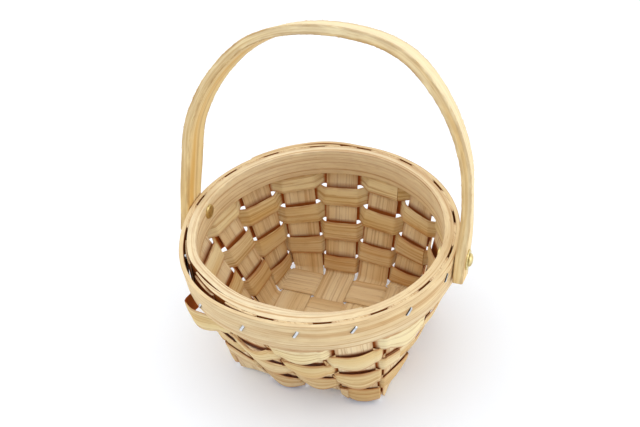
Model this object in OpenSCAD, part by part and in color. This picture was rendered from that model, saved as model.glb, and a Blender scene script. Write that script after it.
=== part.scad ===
// Small basket woven from wood chip: a square plain-woven base of eight splints, a wall of
// sixteen stakes and six weavers, a round rim of two hoops, and a bent handle on two rivets.
// Millimetres. Z is up, the base rests on Z = 0, and the handle turns about the X direction.

/* [Rim] */
// Outside diameter of the outer hoop
rim_diameter = 130; // [115:1:160]
// Height of the basket to the top of the rim
basket_height = 71.4; // [60:0.2:90]
// Height of both hoops
hoop_height = 14.6; // [12:0.2:20]
// Thickness of the outer hoop
outer_hoop_thickness = 2; // [1.2:0.1:3]
// Thickness of the inner hoop
inner_hoop_thickness = 4.3; // [3:0.1:6]
// Distance the outer hoop stands out at its slack side
hoop_slack = 2.2; // [0:0.1:3]
// Free room on each side of a stake between the hoops
rim_fit = 0.2; // [0.2:0.05:0.6]

/* [Splints] */
// Width of a splint
splint_width = 16.6; // [12:0.1:17]
// Thickness of a splint
splint_thickness = 0.6; // [0.4:0.05:0.9]
// Open gap between neighbouring splints in the base
splint_gap = 1.6; // [1.4:0.1:3]
// Length of wall taken up by the fold at the edge of the base
fold_length = 2.2; // [2:0.1:4]
// Turn of all the stakes at the rim, clockwise from above, as far as the rivets leave room
stake_twist = 1.8; // [0:0.1:3]
// Set of the base to the right of the middle of the rim
base_shift_right = 2.2; // [0:0.1:3]
// Set of the base to the back of the middle of the rim
base_shift_back = 1.5; // [0:0.1:3]

/* [Weavers] */
// Thickness of a weaver
weaver_thickness = 0.5; // [0.35:0.05:0.7]
// Open gap between one row and the next
row_gap = 0.1; // [0.05:0.05:0.6]
// Height of the lower edge of the bottom row
first_row = 2.6; // [2.4:0.1:4]
// Bulge of the lower edge where a weaver passes outside a stake
bulge_out_low = 3.2; // [1:0.1:3.6]
// Drop of the lower edge where a weaver above the bottom row passes outside a stake
drop_out_low = 1.2; // [0:0.1:2]
// Bulge of the upper edge where a weaver passes outside a stake
bulge_out_high = 0.9; // [0.2:0.1:2]
// Bulge of the lower edge where a weaver passes inside a stake
bulge_in_low = 0.4; // [0.1:0.1:1.5]
// Bulge of the upper edge where a weaver passes inside a stake
bulge_in_high = 2; // [0.5:0.1:2.5]
// Slack of the top weaver where it stands away from one corner stake
loop_slack = 5.5; // [0:0.1:6]

/* [Handle] */
// Width of the handle strip
handle_width = 13.2; // [8:0.1:18]
// Thickness of the handle strip
handle_thickness = 4.6; // [3:0.1:6]
// Lean of the handle away from upright
handle_lean = 19.7; // [0:0.1:30]
// Inward slope of the legs above the pivot
leg_slope = 4.2; // [1:0.1:6]
// Straight length of each sloping leg
leg_length = 19.5; // [15:0.5:50]
// Radius of the shoulder bend
shoulder_radius = 62; // [45:0.5:70]
// Angle of the shoulder bend
shoulder_angle = 30; // [15:0.5:60]
// Length of the handle end below the pivot
foot_drop = 9.6; // [8:0.1:14]
// Depth of the pivot below the top of the rim
pivot_depth = 4.6; // [4.2:0.1:10]
// Free room between the handle and the outer hoop
handle_gap = 0.3; // [0.2:0.05:0.8]

/* [Fasteners] */
// Diameter of the rivet shank
shank_diameter = 3.2; // [2.5:0.1:4]
// Diameter of the domed rivet head
head_diameter = 6.2; // [5:0.1:8]
// Diameter of the washer
washer_diameter = 9.6; // [8:0.1:11]
// Thickness of the washer
washer_thickness = 0.8; // [0.5:0.1:1.5]
// Length of the crown of a staple
staple_crown = 4.4; // [3.5:0.1:7]
// Slant of a staple from upright
staple_slant = 36; // [0:1:60]

/* [Hidden] */
$fn = 64;

// Rim sizes, from the outside inwards.
rim_radius = rim_diameter / 2;
outer_hoop_inside = rim_radius - outer_hoop_thickness;
inner_hoop_outside = outer_hoop_inside - splint_thickness - 2 * rim_fit;
inner_hoop_inside = inner_hoop_outside - inner_hoop_thickness;
stake_radius = (outer_hoop_inside + inner_hoop_outside) / 2;
hoop_bottom = basket_height - hoop_height;
stake_top = basket_height - 0.4;

// Base and fold sizes. The foot is where the sloping wall would meet the base.
rows = 6;
stakes = 16;
stake_turn = 360 / stakes;
splint_pitch = splint_width + splint_gap;
half_splint = splint_width / 2;
base_clearance = 0.1;
base_offset = (splint_thickness + base_clearance) / 2;
base_level = splint_thickness / 2 + base_offset;
crossing_margin = 0.15;
foot = 1.5 * splint_pitch + half_splint + 2 * crossing_margin + fold_length;
neck_length = 1.6;
neck_level = hoop_bottom - neck_length;
stake_sag = stake_radius - sqrt(stake_radius * stake_radius - half_splint * half_splint);

// Weaver sizes. A weaver keeps its clearance from the face of every stake.
row_pitch = (hoop_bottom - 0.2 - first_row) / rows;
weaver_width = row_pitch - row_gap;
weaver_clearance = 0.2;
weaver_offset = (splint_thickness + weaver_thickness) / 2 + weaver_clearance;
lap_growth = weaver_thickness + 0.15;
edge_margin = 0.3;
clear_reach = half_splint + edge_margin;

// Hoop laps, measured along the hoop in degrees from the start of the strip.
hoop_step = 3;
inner_lap_start = -133;
inner_lap = 81;
outer_lap_start = 100;
outer_lap = 42;
lap_tip = 0.7;
lap_seam = 0.1;
lap_run_in = 12;
slack_middle = 232;
slack_reach = 38;

// Pivot and handle sizes.
pivot_level = basket_height - pivot_depth;
running_fit = 0.05;
shank_radius = shank_diameter / 2;
bore_radius = shank_radius + running_fit;
free_turn = stake_turn / 2 - asin(half_splint / stake_radius)
    - asin((shank_radius + edge_margin) / stake_radius);
rim_twist = -max(0, min(stake_twist, free_turn));
handle_offset = rim_radius + handle_gap + handle_thickness / 2;
foot_rise = 8;
ankle_radius = 120;
ankle_end = [
    handle_offset - ankle_radius * (1 - cos(leg_slope)),
    foot_rise + ankle_radius * sin(leg_slope)
];
leg_end = ankle_end + leg_length * [-sin(leg_slope), cos(leg_slope)];
shoulder_centre = leg_end - shoulder_radius * [cos(leg_slope), sin(leg_slope)];
crown_from = leg_slope + shoulder_angle;
shoulder_end = shoulder_centre + shoulder_radius * [cos(crown_from), sin(crown_from)];
crown_radius = shoulder_end[0] / cos(crown_from);
crown_level = shoulder_end[1] - crown_radius * sin(crown_from);
washer_seat = handle_offset + handle_thickness / 2;
head_seat = washer_seat + washer_thickness + 0.15;
head_height = 1.6;
inner_head_radius = 3.5;
inner_head_height = 1;
inner_head_seat = sqrt(inner_hoop_inside * inner_hoop_inside - inner_head_radius * inner_head_radius);

// Staple sizes. The legs reach through the outer hoop and the stake into the inner hoop.
staple_wire = 1.3;
staple_thickness = 0.55;
staple_depth = 6.2;
staple_leg = outer_hoop_thickness + splint_thickness + 2 * rim_fit + 2.4;

// Position k counts splint pitches from the middle of one face of the wall, so the four stakes
// of a face stand at -1.5, -0.5, 0.5 and 1.5. Face coordinates are along, out and up.
function foot_point(k) = [splint_pitch * k, foot];
function rim_turn(k) = stake_turn * k + rim_twist;
function rim_point(k) = stake_radius * [sin(rim_turn(k)), cos(rim_turn(k))];
function wall_run(k) = norm(rim_point(k) - foot_point(k));
function wall_slope(k) = atan(wall_run(k) / (neck_level - base_level));

// A stake leaves the base through a round fold, climbs straight, and turns upright at the neck.
function fold_turn(k) = 90 - wall_slope(k);
function fold_radius(k) = fold_length / tan(fold_turn(k) / 2);
function fold_end(k) = base_level + fold_length * cos(wall_slope(k));
function neck_start(k) = neck_level - neck_length * cos(wall_slope(k));
function neck_radius(k) = neck_length / tan(wall_slope(k) / 2);

// Distance out from the foot and tilt from upright, at a height on the wall.
function fold_angle(k, z) = acos(1 - (z - base_level) / fold_radius(k));
function neck_angle(k, z) = asin(max(0, hoop_bottom - z) / neck_radius(k));
function run_at(k, z) =
    z < fold_end(k) ? fold_radius(k) * sin(fold_angle(k, z)) - fold_length :
    z < neck_start(k) ? (z - base_level) * tan(wall_slope(k)) :
    z < hoop_bottom ? wall_run(k) - neck_radius(k) * (1 - cos(neck_angle(k, z))) : wall_run(k);
function tilt_at(k, z) =
    z < fold_end(k) ? 90 - fold_angle(k, z) :
    z < neck_start(k) ? wall_slope(k) :
    z < hoop_bottom ? neck_angle(k, z) : 0;

// The frame of a stake at a height: middle, direction across, direction outwards, edge set-back.
function share_at(k, z) = max(0, run_at(k, z) / wall_run(k));
function wall_way(k) = (rim_point(k) - foot_point(k)) / wall_run(k);
function out_tilt(k, z, turn) =
    let (lead = [sin(turn), cos(turn)] * wall_way(k))
    atan2(sin(tilt_at(k, z)) * lead, cos(tilt_at(k, z)));
function stake_frame(k, z) =
    let (share = share_at(k, z))
    let (turn = rim_turn(k) * share)
    let (flat = foot_point(k) + run_at(k, z) * wall_way(k))
    let (tilt = out_tilt(k, z, turn))
    [
        [flat[0], flat[1], z],
        [cos(turn), -sin(turn), 0],
        [sin(turn) * cos(tilt), cos(turn) * cos(tilt), -sin(tilt)],
        stake_sag * share * share
    ];

// Face coordinates to part coordinates. Faces are numbered round from the front, anticlockwise.
function turn_flat(p, angle) =
    [p[0] * cos(angle) - p[1] * sin(angle), p[0] * sin(angle) + p[1] * cos(angle), p[2]];
function to_part(p, face) = turn_flat([p[0], -p[1], p[2]], 90 * face);

// The base is set off from the middle of the rim, so the wall leans by less and less up to the hoops.
function set_off(p) =
    p + [base_shift_right, base_shift_back, 0] * max(0, 1 - p[2] / hoop_bottom);
function point_on_part(p, face) = set_off(to_part(p, face));

// One cross-section of a splint: three points on the outer side, then three on the inner side.
function cross_section(middle, across, out, sag) =
    let (skin = out * splint_thickness / 2)
    let (reach = across * half_splint)
    let (back = out * sag)
    [
        middle - reach - back + skin, middle + skin, middle + reach - back + skin,
        middle + reach - back - skin, middle - skin, middle - reach - back - skin
    ];

// A splint crosses four others in the base, below them where side is -1 and above where it is 1.
function base_section(k, out, side) =
    cross_section([splint_pitch * k, out, base_level + side * base_offset], [1, 0, 0], [0, 0, -1], 0);
function wall_section(k, z, shift) =
    let (f = stake_frame(k, z))
    cross_section(f[0] - f[2] * shift, f[1], f[2], f[3]);

fold_steps = 4;
wall_steps = 8;
neck_steps = 3;
function fold_height(k, i) = base_level + fold_radius(k) * (1 - cos(fold_turn(k) * i / fold_steps));
function neck_height(k, i) = hoop_bottom - neck_radius(k) * sin(wall_slope(k) * (1 - i / neck_steps));
function stake_sections(k, side) = concat(
    [base_section(k, foot - fold_length, side)],
    [for (i = [1:fold_steps - 1])
        wall_section(k, fold_height(k, i), side * base_offset * (1 - i / fold_steps))],
    [for (i = [0:wall_steps])
        wall_section(k, fold_end(k) + (neck_start(k) - fold_end(k)) * i / wall_steps, 0)],
    [for (i = [1:neck_steps]) wall_section(k, neck_height(k, i), 0)],
    [wall_section(k, stake_top, 0)]
);

// Splint number i of a direction, as seen from face number face, runs from that face's rim
// through the base to the rim of the face opposite.
function crossing_side(i, m) = (i + m) % 2 == 0 ? 1 : -1;
function reversed(list) = [for (i = [len(list) - 1:-1:0]) list[i]];
function placed(sections, face) = [for (s = sections) [for (p = s) point_on_part(p, face)]];
function swapped(s) = [s[2], s[1], s[0], s[5], s[4], s[3]];
function base_run(i) = [
    for (m = [0:3])
        for (end = [-1, 1])
            base_section(
                i - 1.5,
                -(m - 1.5) * splint_pitch - end * (half_splint + crossing_margin),
                crossing_side(i, m)
            )
];
function splint_run(i, face) = concat(
    reversed(placed(stake_sections(i - 1.5, crossing_side(i, 0)), face)),
    placed(base_run(i), face),
    [for (s = placed(stake_sections(1.5 - i, crossing_side(i, 3)), face + 2)) swapped(s)]
);

// A closed strip through a list of equal cross-sections.
module strip(sections) {
    count = len(sections[0]);
    last = count * (len(sections) - 1);
    points = [for (s = sections) for (p = s) p];
    sides = [
        for (i = [0:len(sections) - 2])
            for (j = [0:count - 1])
                let (a = i * count + j)
                let (b = i * count + (j + 1) % count)
                each [[a, b, b + count], [a, b + count, a + count]]
    ];
    pairs = count / 2;
    near_end = [
        for (j = [0:pairs - 2])
            each [[j, count - 2 - j, j + 1], [j, count - 1 - j, count - 2 - j]]
    ];
    far_end = [for (t = near_end) [t[0] + last, t[2] + last, t[1] + last]];
    polyhedron(points, concat(sides, near_end, far_end), convexity = 10);
}

module splint(i, face) {
    color("BurlyWood") strip(splint_run(i, face));
}

// Weaver row r, counted from the bottom, passes outside the stakes where stake plus row is odd.
function stake_face(j) = floor(j / 4) % 4;
function stake_place(j) = j % 4 - 1.5;
function is_outside(j, r) = (j + r) % 2 == 1;
function row_middle(r) = first_row + row_pitch * (r + 0.5);
function half_rise(k, z) = weaver_width / 2 * cos(tilt_at(k, z));

// Distance of a weaver edge from the middle of the stake, at a share s from -1 to 1 of its width.
// The bulge is greatest at the middle of the stake and gone halfway to the next stake.
function bulge(outside, up) =
    outside ? (up > 0 ? bulge_out_high : bulge_out_low) : (up > 0 ? bulge_in_high : bulge_in_low);
function half_spacing(z) = (stake_frame(0.5, z)[0][0] - stake_frame(-0.5, z)[0][0]) / 2;
function reach_share(z) = min(1, clear_reach / half_spacing(z));
function edge_offset(outside, up, s, growth, z) =
    let (swell = bulge(outside, up) * cos(90 * s * reach_share(z)))
    outside ? weaver_offset + swell + lap_growth * growth :
    -weaver_offset - swell + lap_growth * (growth - 1);

// The top row stands off in a loose loop that is widest at the edge of one corner stake.
loop_stake = 0;
function loop_at(j, r, s) =
    j == loop_stake && r == rows - 1 ? loop_slack * (1 + cos(90 * (s + 1))) / 2 : 0;

// The lower edge hangs lower at the middle of a stake that it passes outside.
function drop_at(j, r, s, up) =
    up < 0 && r > 0 && is_outside(j, r) ? drop_out_low * cos(90 * s) : 0;

// One edge of a weaver at a stake: its middle line and the direction outwards.
function weaver_edge(j, r, s, up, growth) =
    let (k = stake_place(j))
    let (z = row_middle(r) + up * half_rise(k, row_middle(r)) - drop_at(j, r, s, up))
    let (f = stake_frame(k, z))
    let (offset = edge_offset(is_outside(j, r), up, s, growth, z) + loop_at(j, r, s))
    [
        point_on_part(f[0] + f[1] * clear_reach * s + f[2] * (offset - f[3] * abs(s)), stake_face(j)),
        to_part(f[2], stake_face(j))
    ];
function between(a, b) = [(a[0] + b[0]) / 2, (a[1] + b[1]) / norm(a[1] + b[1])];
function weaver_section(low, high) =
    let (skin = weaver_thickness / 2)
    [
        low[0] + low[1] * skin, high[0] + high[1] * skin,
        high[0] - high[1] * skin, low[0] - low[1] * skin
    ];
function growth_at(n) = min(1, n / stakes);
function at_stake(j, r, s, n) =
    weaver_section(
        weaver_edge(j % stakes, r, s, -1, growth_at(n)),
        weaver_edge(j % stakes, r, s, 1, growth_at(n))
    );
function at_gap(j, r, n) =
    let (a = j % stakes)
    let (b = (j + 1) % stakes)
    weaver_section(
        between(weaver_edge(a, r, 1, -1, growth_at(n)), weaver_edge(b, r, -1, -1, growth_at(n + 1))),
        between(weaver_edge(a, r, 1, 1, growth_at(n)), weaver_edge(b, r, -1, 1, growth_at(n + 1)))
    );

// A row starts inside one stake, goes once round, and laps its own start to end on the next stake.
shares = [-1, -0.7, -0.35, 0, 0.35, 0.7, 1];
function row_start(r) = (2 + 11 * r) % stakes;
function weaver_run(r) = concat(
    [
        for (n = [0:stakes])
            let (j = row_start(r) + n)
            each concat([for (s = shares) at_stake(j, r, s, n)], [at_gap(j, r, n)])
    ],
    [for (i = [0:2]) at_stake(row_start(r) + stakes + 1, r, shares[i], stakes + 1)]
);

module weaver(r) {
    color("Tan") strip(weaver_run(r));
}

// Hoop strips. The thin start of a strip is covered by its thin end over the length of the lap.
function ramp(x) = max(0, min(1, x));
function start_thickness(a, lap, full) = lap_tip + (full - lap_tip) * ramp(2 * a / lap);
function end_thickness(a, lap, full) = lap_tip + (full - lap_tip) * ramp(1.33 * (1 - a / lap));
function lap_shift(a, lap, full) =
    a < 360 ? (lap_tip + lap_seam) * ramp((a - 360 + lap_run_in) / lap_run_in) :
    start_thickness(a - 360, lap, full) + lap_seam;
function strip_thickness(a, lap, full) =
    a < lap ? start_thickness(a, lap, full) :
    a <= 360 ? full : end_thickness(a - 360, lap, full);
function ray(radius, angle) = radius * [cos(angle), sin(angle)];
function slack_at(angle) =
    let (away = abs((angle + 720) % 360 - slack_middle))
    away > slack_reach ? 0 : hoop_slack * (1 + cos(180 * away / slack_reach)) / 2;
function inner_back(a) = inner_hoop_outside - lap_shift(a, inner_lap, inner_hoop_thickness);
function inner_front(a) = inner_back(a) - strip_thickness(a, inner_lap, inner_hoop_thickness);
function outer_back(a) =
    outer_hoop_inside + slack_at(a + outer_lap_start) + lap_shift(a, outer_lap, outer_hoop_thickness);
function outer_front(a) = outer_back(a) + strip_thickness(a, outer_lap, outer_hoop_thickness);

module rivet_bores(radius) {
    translate([-rim_radius - 5, 0, pivot_level])
        rotate([0, 90, 0])
            cylinder(r = radius, h = 2 * rim_radius + 10);
}

module inner_hoop() {
    angles = [for (a = [0:hoop_step:360 + inner_lap]) a];
    outline = concat(
        [for (a = angles) ray(inner_back(a), a + inner_lap_start)],
        [for (a = reversed(angles)) ray(inner_front(a), a + inner_lap_start)]
    );
    color("Wheat")
        difference() {
            translate([0, 0, hoop_bottom])
                linear_extrude(height = hoop_height)
                    polygon(outline);
            rivet_bores(shank_radius);
        }
}

module outer_hoop() {
    angles = [for (a = [0:hoop_step:360 + outer_lap]) a];
    outline = concat(
        [for (a = angles) ray(outer_front(a), a + outer_lap_start)],
        [for (a = reversed(angles)) ray(outer_back(a), a + outer_lap_start)]
    );
    color("Wheat")
        difference() {
            translate([0, 0, hoop_bottom])
                linear_extrude(height = hoop_height)
                    polygon(outline);
            rivet_bores(shank_radius);
        }
}

// A staple lies flat on the outer hoop with two legs driven towards the middle of the basket.
module staple() {
    translate([0, -staple_wire / 2, -staple_crown / 2])
        cube([staple_thickness, staple_wire, staple_crown]);
    for (leg = [-staple_crown / 2, staple_crown / 2 - staple_thickness])
        translate([-staple_leg, -staple_wire / 2, leg])
            cube([staple_leg + staple_thickness, staple_wire, staple_thickness]);
}

function hoop_surface(angle) =
    let (a = (angle - outer_lap_start + 720) % 360)
    a < outer_lap ? outer_front(a + 360) : outer_front(a);

module rim_staples() {
    color("Silver")
        for (j = [0:stakes - 1]) {
            angle = -90 + rim_turn(stake_place(j)) + 90 * stake_face(j);
            rotate([0, 0, angle])
                translate([hoop_surface(angle), 0, basket_height - staple_depth])
                    rotate([-staple_slant, 0, 0])
                        staple();
        }
}

// The handle lies in its own plane: along X between the legs, up along Y, its width along Z.
// Its outline runs up a straight foot, a slight ankle bend, a leg, a shoulder and the crown.
bend_step = 2;
function bend(centre, radius, from, to) =
    let (count = ceil((to - from) / bend_step))
    [for (i = [0:count]) centre + ray(radius, from + (to - from) * i / count)];
function handle_side(offset) = concat(
    [[handle_offset + offset, -foot_drop]],
    bend([handle_offset - ankle_radius, foot_rise], ankle_radius + offset, 0, leg_slope),
    bend(shoulder_centre, shoulder_radius + offset, leg_slope, crown_from),
    bend([0, crown_level], crown_radius + offset, crown_from + bend_step, 90)
);
function handle_arch(offset) =
    let (half = handle_side(offset))
    concat(half, [for (i = [len(half) - 2:-1:0]) [-half[i][0], half[i][1]]]);

module at_pivot() {
    translate([0, 0, pivot_level])
        rotate([90 - handle_lean, 0, 0])
            children();
}

module handle() {
    color("NavajoWhite")
        at_pivot()
            difference() {
                linear_extrude(height = handle_width, center = true)
                    polygon(concat(
                        handle_arch(handle_thickness / 2),
                        reversed(handle_arch(-handle_thickness / 2))
                    ));
                translate([-handle_offset - handle_thickness, 0, 0])
                    rotate([0, 90, 0])
                        cylinder(r = bore_radius, h = 2 * (handle_offset + handle_thickness));
            }
}

// Rivets and washers are drawn along X for the right side, and turned about for the left.
module rivet() {
    color("Gold")
        translate([0, 0, pivot_level])
            rotate([0, 90, 0])
                rotate_extrude()
                    polygon(concat(
                        [
                            [0, inner_head_seat - inner_head_height],
                            [inner_head_radius, inner_head_seat - inner_head_height],
                            [inner_head_radius, inner_head_seat],
                            [shank_radius, inner_head_seat],
                            [shank_radius, head_seat],
                            [head_diameter / 2, head_seat]
                        ],
                        [
                            for (i = [1:6])
                                [head_diameter / 2 * cos(15 * i), head_seat + head_height * sin(15 * i)]
                        ]
                    ));
}

module washer() {
    color("Gold")
        translate([washer_seat, 0, pivot_level])
            rotate([0, 90, 0])
                difference() {
                    cylinder(d = washer_diameter, h = washer_thickness);
                    translate([0, 0, -1])
                        cylinder(r = bore_radius, h = washer_thickness + 2);
                }
}

splint(0, 1);  // splint_x1
splint(1, 1);  // splint_x2
splint(2, 1);  // splint_x3
splint(3, 1);  // splint_x4
splint(0, 0);  // splint_y1
splint(1, 0);  // splint_y2
splint(2, 0);  // splint_y3
splint(3, 0);  // splint_y4
weaver(0);  // weaver_1
weaver(1);  // weaver_2
weaver(2);  // weaver_3
weaver(3);  // weaver_4
weaver(4);  // weaver_5
weaver(5);  // weaver_6
inner_hoop();
outer_hoop();
rim_staples();
handle();
rotate([0, 0, 180]) rivet();  // rivet_left
rivet();  // rivet_right
rotate([0, 0, 180]) washer();  // washer_left
washer();  // washer_right
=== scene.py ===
import math

import bpy
import numpy as np
from mathutils import Matrix


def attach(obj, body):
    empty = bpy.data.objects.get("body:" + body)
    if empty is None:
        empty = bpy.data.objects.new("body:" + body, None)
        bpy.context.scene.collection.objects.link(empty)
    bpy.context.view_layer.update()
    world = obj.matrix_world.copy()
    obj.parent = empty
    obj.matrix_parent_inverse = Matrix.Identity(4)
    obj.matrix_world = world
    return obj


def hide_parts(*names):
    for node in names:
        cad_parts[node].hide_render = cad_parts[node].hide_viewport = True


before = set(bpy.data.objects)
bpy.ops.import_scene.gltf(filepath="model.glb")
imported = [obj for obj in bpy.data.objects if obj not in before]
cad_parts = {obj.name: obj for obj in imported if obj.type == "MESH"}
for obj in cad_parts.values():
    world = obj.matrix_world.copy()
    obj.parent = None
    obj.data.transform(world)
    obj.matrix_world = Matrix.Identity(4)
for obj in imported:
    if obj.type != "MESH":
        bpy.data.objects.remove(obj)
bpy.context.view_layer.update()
scene = bpy.context.scene
scene.view_settings.view_transform = "Standard"
print("frame loaded:", len(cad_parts), "nodes")

mm = 0.001  # lengths below are in millimetres, meshes in metres

# camera

cameraSettings = dict(
    focal=907.35,  # in pixels of a picture 640 wide
    pictureWidth=640,
    sensor=36.0,
    distance=422.5,  # from the middle of the rim
    aim=(0.0, 0.0, 71.4),
    elevation=40.505,
    azimuth=22.883,  # from the front towards the right
    roll=4.901,
    pan=-0.09,
    tilt=0.69,
    clip=0.01,  # nearest distance seen, in metres
)


def turned(v, axis, degrees):
    # v turned about a unit axis
    a = math.radians(degrees)
    along = axis * (axis @ v) * (1 - math.cos(a))
    return v * math.cos(a) + np.cross(axis, v) * math.sin(a) + along


def placedGrid(right, up, back, place):
    # object matrix from three axes and a place in metres
    grid = np.eye(4)
    for column, values in enumerate((right, up, back, place)):
        grid[:3, column] = values
    return Matrix(grid.tolist())


def makeCamera(c):
    # looks from azimuth and elevation at the rim, then tilts, pans and rolls about its own axes
    az, el = math.radians(c["azimuth"]), math.radians(c["elevation"])
    out = np.array([math.sin(az) * math.cos(el), -math.cos(az) * math.cos(el), math.sin(el)])
    right = np.array([math.cos(az), math.sin(az), 0.0])
    forward = -out
    up = np.cross(right, forward)
    forward, up = turned(forward, right, c["tilt"]), turned(up, right, c["tilt"])
    forward, right = turned(forward, up, c["pan"]), turned(right, up, c["pan"])
    right, up = turned(right, forward, c["roll"]), turned(up, forward, c["roll"])
    data = bpy.data.cameras.new("camera")
    data.sensor_width = c["sensor"]
    data.lens = c["focal"] / c["pictureWidth"] * c["sensor"]
    data.clip_start = c["clip"]
    camera = bpy.data.objects.new("camera", data)
    scene.collection.objects.link(camera)
    place = (np.array(c["aim"]) + out * c["distance"]) * mm
    camera.matrix_world = placedGrid(right, up, -forward, place)
    scene.camera = camera


makeCamera(cameraSettings)

# meshes


def lengths(path):
    # running length along a list of points, from zero
    return np.concatenate([[0], np.cumsum(np.linalg.norm(np.diff(path, axis=0), axis=1))])


def tube(sections, along, around, edge=0.0, shade=0.0, capEnds=True):
    # a closed skin over sections[n, m, 3]; each corner carries the grain pair (along, around),
    # and each point its edge mark (nearness to a cut edge, or on metal the painted dark reflection) and
    # its painted shade, such as how deep it lies in a crevice;
    # without end caps the last section joins the first, and along has one value more
    n, m = sections.shape[:2]
    i, j = np.meshgrid(np.arange(n - 1 if capEnds else n), np.arange(m), indexing="ij")
    k, q = (j + 1) % m, (i + 1) % n
    faces = np.stack([i * m + j, i * m + k, q * m + k, q * m + j], -1).reshape(-1, 4)
    closing = around[-1] + mm * np.linalg.norm(sections[n // 2, 0] - sections[n // 2, -1])
    near, far = around[j], np.where(k == 0, closing, around[k])
    corners = [(along[i], near), (along[i], far), (along[i + 1], far), (along[i + 1], near)]
    grains = [np.stack([np.stack(c, -1) for c in corners], -2).reshape(-1, 2)]
    faces = faces.tolist()
    if capEnds:
        for ring in (np.arange(m)[::-1], (n - 1) * m + np.arange(m)):
            p = sections.reshape(-1, 3)[ring]
            p = (p - p.mean(0)) * mm
            faces.append(ring.tolist())
            grains.append(np.stack([p[:, 2], p[:, 0] + p[:, 1]], -1))
    marks = [np.broadcast_to(mark, (n, m)).ravel() for mark in (edge, shade)]
    return sections.reshape(-1, 3), faces, np.concatenate(grains), np.stack(marks)


def joined(skins):
    # several skins as one
    faces, base = [], 0
    for points, own, _, _ in skins:
        faces += [[k + base for k in face] for face in own]
        base += len(points)
    points, _, grains, marks = zip(*skins)
    return np.concatenate(points), faces, np.concatenate(grains), np.concatenate(marks, 1)


def addPiece(name, skin, material, body, nodes=(), sharp=38):
    # a mesh in metres that rides a body and stands for the named nodes
    points, faces, grain, marks = skin
    mesh = bpy.data.meshes.new(name)
    mesh.from_pydata((points * mm).tolist(), [], faces)
    layer = mesh.uv_layers.new(name="grain")
    layer.data.foreach_set("uv", grain.astype(np.float32).ravel())
    for word, mark in zip(("edge", "shade"), marks):
        layer = mesh.attributes.new(word, "FLOAT", "POINT")
        layer.data.foreach_set("value", mark.astype(np.float32))
    mesh.polygons.foreach_set("use_smooth", np.ones(len(mesh.polygons), dtype=bool))
    mesh.set_sharp_from_angle(angle=math.radians(sharp))
    mesh.materials.append(material)
    piece = bpy.data.objects.new(name, mesh)
    scene.collection.objects.link(piece)
    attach(piece, body)
    if nodes:
        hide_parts(*nodes)


def waves(t, rng, low, high, count=5):
    # a smooth uneven line between -1 and 1, with wavelengths from low to high
    t = np.asarray(t)[..., None]
    size = rng.uniform(0.4, 1, count)
    length = np.exp(rng.uniform(math.log(low), math.log(high), count))
    phase = rng.uniform(0, 2 * np.pi, count)
    return (size * np.sin(2 * np.pi * t / length + phase)).sum(-1) / size.sum()


def smooth(t):
    # 0 to 1 without a kink at either end
    t = np.clip(t, 0, 1)
    return t * t * (3 - 2 * t)


def through(t, places, values):
    # a smooth curve through values at increasing places; each piece is a cubic
    slopes = np.gradient(values, places, axis=0)
    k = np.clip(np.searchsorted(places, t) - 1, 0, len(places) - 2)
    step = np.diff(places)[k][:, None]
    u = (t - np.array(places)[k])[:, None] / step
    start, stop = values[k] * (1 + 2 * u), values[k + 1] * (3 - 2 * u)
    start = start + slopes[k] * step * u
    stop = stop - slopes[k + 1] * step * (1 - u)
    return start * (1 - u) ** 2 + stop * u**2


# shader wiring


class Wire:
    # one output socket; arithmetic on it adds Math nodes
    def __init__(self, graph, socket):
        self.graph, self.socket = graph, socket

    def math(self, operation, first, second):
        return self.graph.node("ShaderNodeMath", dict(operation=operation), {0: first, 1: second})[0]

    def __add__(self, other):
        return self.math("ADD", self, other)

    def __radd__(self, other):
        return self.math("ADD", other, self)

    def __sub__(self, other):
        return self.math("SUBTRACT", self, other)

    def __rsub__(self, other):
        return self.math("SUBTRACT", other, self)

    def __mul__(self, other):
        return self.math("MULTIPLY", self, other)

    def __rmul__(self, other):
        return self.math("MULTIPLY", other, self)

    def largest(self, other):
        return self.math("MAXIMUM", self, other)

    def step(self, low, high):
        # 0 below low and 1 above high, smooth between
        settings = dict(interpolation_type="SMOOTHSTEP")
        return self.graph.node("ShaderNodeMapRange", settings, {0: self, 1: low, 2: high})[0]


class Graph:
    # one node tree
    def __init__(self, tree):
        self.tree = tree

    def node(self, kind, settings, inputs):
        made = self.tree.nodes.new(kind)
        for key, value in settings.items():
            setattr(made, key, value)
        for key, value in inputs.items():
            self.put(made.inputs[key], value)
        return [Wire(self, output) for output in made.outputs]

    def put(self, socket, value):
        if isinstance(value, Wire):
            self.tree.links.new(value.socket, socket)
        elif socket.type == "RGBA":
            socket.default_value = (*value, 1)
        else:
            socket.default_value = value

    def mix(self, share, a, b):
        return self.node("ShaderNodeMix", dict(data_type="RGBA"), {0: share, 6: a, 7: b})[2]

    def noise(self, x, y, z, detail=3.0, rough=0.55):
        place = self.node("ShaderNodeCombineXYZ", {}, {0: x, 1: y, 2: z})[0]
        inputs = {"Vector": place, "Scale": 1.0, "Detail": detail, "Roughness": rough}
        return self.node("ShaderNodeTexNoise", {}, inputs)[0]

    def split(self, vector):
        return self.node("ShaderNodeSeparateXYZ", {}, {0: vector})

    def seen(self):
        # 1 for what the camera sees, also in metal and through glass, and 0 for light on the basket
        path = self.node("ShaderNodeLightPath", {}, {})
        return path[0].largest(path[3]).largest(path[6])

    def bump(self, height, strength, distance):
        inputs = {"Height": height, "Strength": strength, "Distance": distance}
        return self.node("ShaderNodeBump", {}, inputs)[0]


class Finish(Graph):
    # one material with a Principled shader
    def __init__(self, name):
        self.material = bpy.data.materials.new(name)
        self.material.use_nodes = True
        super().__init__(self.material.node_tree)
        self.shader = self.tree.nodes["Principled BSDF"]

    def set(self, values):
        for key, value in values.items():
            self.put(self.shader.inputs[key], value)


def screen(r, g, b):
    # screen colour 0..255 to linear light
    return tuple(((c / 255 + 0.055) / 1.055) ** 2.4 for c in (r, g, b))


# wood

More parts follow.
